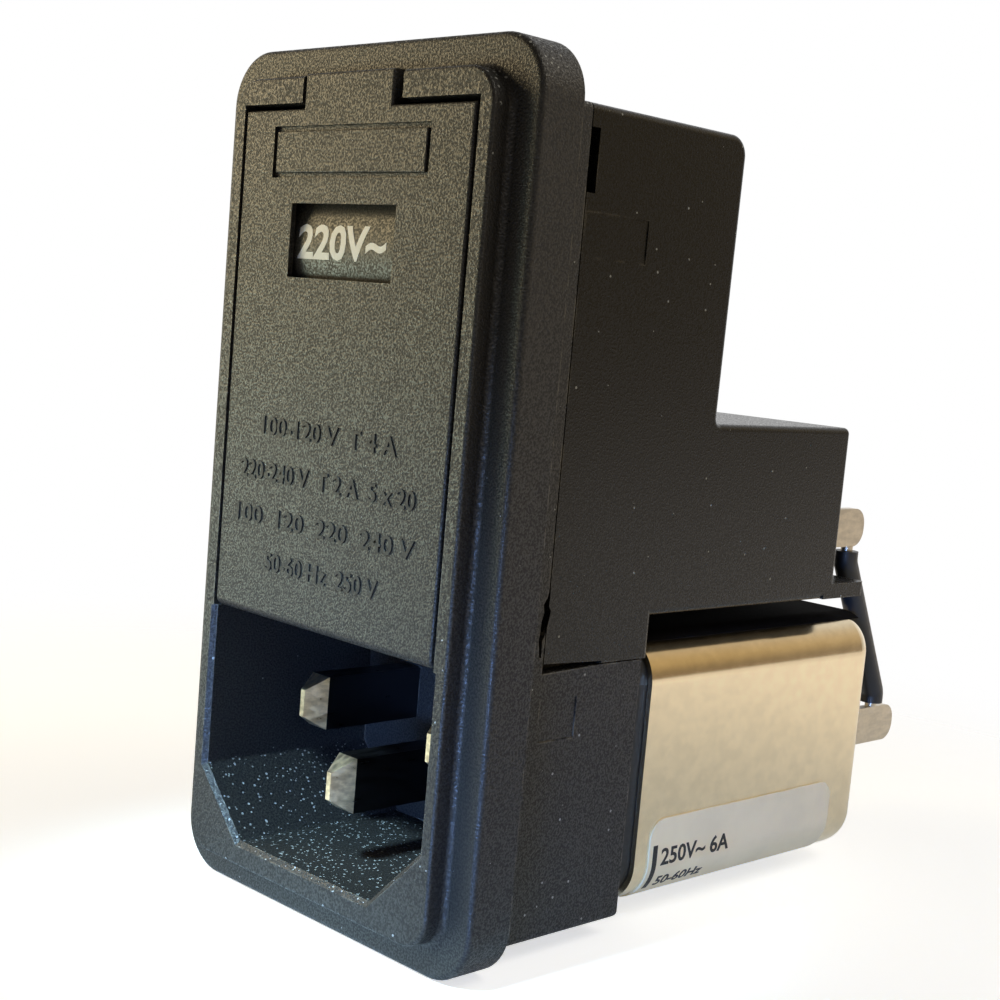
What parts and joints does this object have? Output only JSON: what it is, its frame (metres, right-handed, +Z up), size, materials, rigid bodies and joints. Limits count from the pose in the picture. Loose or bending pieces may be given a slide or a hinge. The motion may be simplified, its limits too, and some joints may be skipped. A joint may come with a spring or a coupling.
{
  "type": "power entry module",
  "caption": "Panel-mount mains inlet module with a hinged fuse door, a voltage selector drum behind its window, a metal line filter can and rear blade terminals.",
  "frame": {"origin": "centre of the flange's rear face, in the plane of the panel it sits on", "axes": "+X right seen from the front, +Y into the panel, +Z up, toward the fuse door"},
  "size_m": [0.0316, 0.059, 0.0608],
  "materials": {
    "bezel_plastic": "fine spark-eroded texture",
    "housing_plastic": "fine spark-eroded texture",
    "door_plastic": "fine spark-eroded texture",
    "drum_plastic": "smooth, with printed voltages",
    "carrier_plastic": "smooth",
    "insulator_plastic": "smooth",
    "brass_strip": "rolled strip",
    "tinned_brass": "tin plated, dull",
    "tinned_wire": "tin plated wire",
    "nickel": "nickel plated, satin",
    "can_metal": "nickel plated sheet, satin",
    "fuse_glass": "clear",
    "label_film": "matte film",
    "potting_resin": "cast resin",
    "ferrite": "sintered",
    "enamelled_copper": "enamelled",
    "capacitor_box": "moulded box",
    "capacitor_disc": "dipped",
    "resistor_body": "lacquered",
    "sleeve_rubber": "heat-shrink sleeve"
  },
  "bodies": {
    "housing": {"bleed_resistor": "resistor_body", "can_label": "label_film", "choke_core": "ferrite", "choke_winding_line": "enamelled_copper", "choke_winding_neutral": "enamelled_copper", "earth_pin": "nickel", "earth_strap": "tinned_wire", "filter_base": "insulator_plastic", "filter_can": "can_metal", "front_bezel": "bezel_plastic", "fuse_carrier_line": "carrier_plastic", "fuse_carrier_neutral": "carrier_plastic", "fuse_front_cap_line": "nickel", "fuse_front_cap_neutral": "nickel", "fuse_front_clip_line": "tinned_brass", "fuse_front_clip_neutral": "tinned_brass", "fuse_rear_cap_line": "nickel", "fuse_rear_cap_neutral": "nickel", "fuse_rear_clip_line": "tinned_brass", "fuse_rear_clip_neutral": "tinned_brass", "fuse_tube_line": "fuse_glass", "fuse_tube_neutral": "fuse_glass", "fuse_wire_line": "tinned_wire", "fuse_wire_neutral": "tinned_wire", "ground_tab": "tinned_brass", "input_lead_line": "tinned_wire", "input_lead_neutral": "tinned_wire", "jumper_core_line": "tinned_wire", "jumper_core_neutral": "tinned_wire", "jumper_sleeve_line": "sleeve_rubber", "jumper_sleeve_neutral": "sleeve_rubber", "line_pin": "nickel", "neutral_pin": "nickel", "output_bushing_line": "insulator_plastic", "output_bushing_neutral": "insulator_plastic", "output_lead_line": "tinned_wire", "output_lead_neutral": "tinned_wire", "output_tab_line": "tinned_brass", "output_tab_neutral": "tinned_brass", "potting": "potting_resin", "rear_housing": "housing_plastic", "selector_contact_1": "tinned_brass", "selector_contact_2": "tinned_brass", "selector_contact_3": "tinned_brass", "selector_contact_4": "tinned_brass", "selector_contact_5": "tinned_brass", "x_capacitor": "capacitor_box", "y_capacitor_line": "capacitor_disc", "y_capacitor_neutral": "capacitor_disc"},
    "door": {"fuse_door": "door_plastic"},
    "drum": {"selector_bridge_100": "brass_strip", "selector_bridge_120": "brass_strip", "selector_bridge_220": "brass_strip", "selector_bridge_240": "brass_strip", "selector_drum": "drum_plastic"}
  },
  "joints": [
    {"name": "door_hinge", "type": "hinge", "parent": "housing", "child": "door", "pos_m": [0, -0.0041, -0.00845], "axis": [1, 0, 0], "range_deg": [0, 105]},
    {"name": "drum_turn", "type": "hinge", "parent": "housing", "child": "drum", "pos_m": [0, 0.00235, 0.0168], "axis": [1, 0, 0], "continuous": true}
  ]
}
